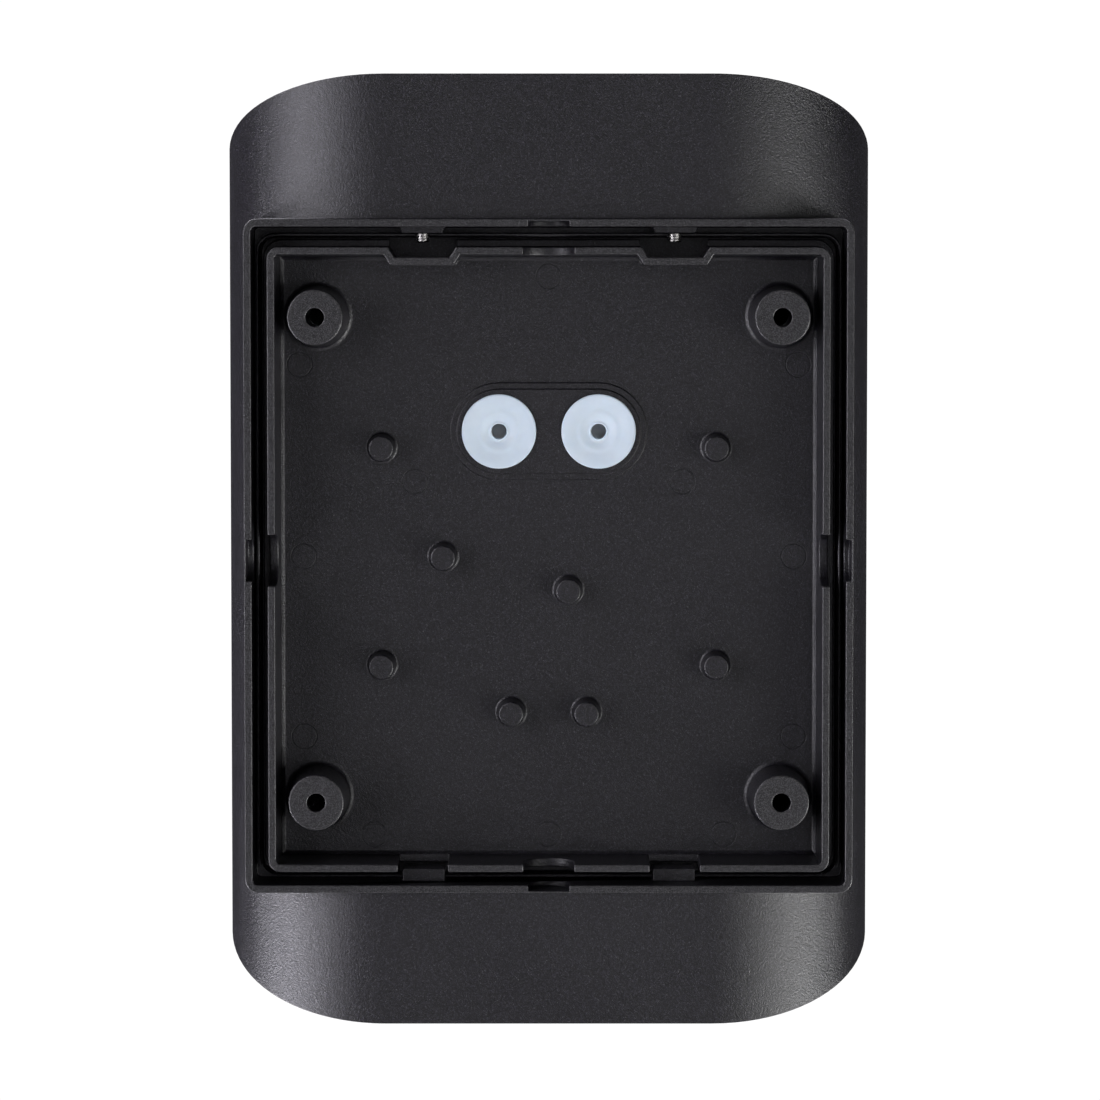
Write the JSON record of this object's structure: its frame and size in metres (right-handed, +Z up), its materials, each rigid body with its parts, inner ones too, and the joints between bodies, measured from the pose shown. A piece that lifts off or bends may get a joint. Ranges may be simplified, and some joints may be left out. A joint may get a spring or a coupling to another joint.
{
  "type": "outdoor wall light",
  "caption": "Up-and-down outdoor wall light: black cast wall tray with cable grommets, and a rounded lift-off hood with sloping glazed ends.",
  "frame": {"origin": "centre of the four wall-screw holes, on the wall plane", "axes": "+Z up, +Y into the wall, so the light stands out from the wall towards -Y; +X to the right seen from the front"},
  "size_m": [0.172, 0.1, 0.25],
  "materials": {
    "powder_coat": "fine-textured black powder coat",
    "silicone": "milky translucent silicone",
    "seal_rubber": "matt dark silicone",
    "sheet_aluminium": "mill-finish sheet",
    "zinc_steel": "zinc-plated steel",
    "stainless": "bright stainless steel thread",
    "driver_case": "white polycarbonate",
    "terminal_plastic": "natural polyamide",
    "brass": "plain brass",
    "board_white": "white solder mask",
    "led_phosphor": "yellow phosphor",
    "reflector_white": "white moulded reflector",
    "lead_brown": "brown insulation",
    "lead_blue": "blue insulation",
    "lead_earth": "green and yellow insulation",
    "lead_red": "red insulation",
    "glass": "clear tempered glass"
  },
  "bodies": {
    "tray_assembly": {"wall_tray": "powder_coat", "cable_grommet_left": "silicone", "cable_grommet_right": "silicone", "tray_seal": "seal_rubber", "gear_bracket": "sheet_aluminium", "gear_bracket_screws": "zinc_steel", "led_driver": "driver_case", "led_driver_screws": "zinc_steel", "terminal_block": "terminal_plastic", "terminal_block_screws": "zinc_steel", "terminal_clamp_screws": "brass", "earth_lugs": "brass", "earth_screws": "brass", "upper_led_board": "board_white", "lower_led_board": "board_white", "upper_led_chips": "led_phosphor", "lower_led_chips": "led_phosphor", "led_board_screws": "zinc_steel", "upper_reflector": "reflector_white", "lower_reflector": "reflector_white", "live_lead": "lead_brown", "neutral_lead": "lead_blue", "earth_lead": "lead_earth", "upper_led_leads": "lead_red", "lower_led_leads": "lead_red"},
    "hood_assembly": {"hood_shell": "powder_coat", "upper_glass": "glass", "lower_glass": "glass", "upper_glass_seal": "seal_rubber", "lower_glass_seal": "seal_rubber", "upper_glass_frame": "sheet_aluminium", "lower_glass_frame": "sheet_aluminium", "glass_frame_screws": "zinc_steel"},
    "lock_screw_left": {"lock_screw_left": "stainless"},
    "lock_screw_right": {"lock_screw_right": "stainless"},
    "access_plug_left": {"access_plug_left": "seal_rubber"},
    "access_plug_right": {"access_plug_right": "seal_rubber"}
  },
  "joints": [
    {"name": "hood_lift_off", "type": "slide", "parent": "tray_assembly", "child": "hood_assembly", "axis": [0, -1, 0], "range_m": [0, 0.12]},
    {"name": "lock_screw_left_drive", "type": "slide", "parent": "hood_assembly", "child": "lock_screw_left", "axis": [0, 0, 1], "range_m": [-0.0036, 0.0035]},
    {"name": "lock_screw_right_drive", "type": "slide", "parent": "hood_assembly", "child": "lock_screw_right", "axis": [0, 0, 1], "range_m": [-0.0036, 0.0035]},
    {"name": "access_plug_left_pull", "type": "slide", "parent": "hood_assembly", "child": "access_plug_left", "axis": [0, 0, 1], "range_m": [0, 0.014]},
    {"name": "access_plug_right_pull", "type": "slide", "parent": "hood_assembly", "child": "access_plug_right", "axis": [0, 0, 1], "range_m": [0, 0.014]}
  ]
}
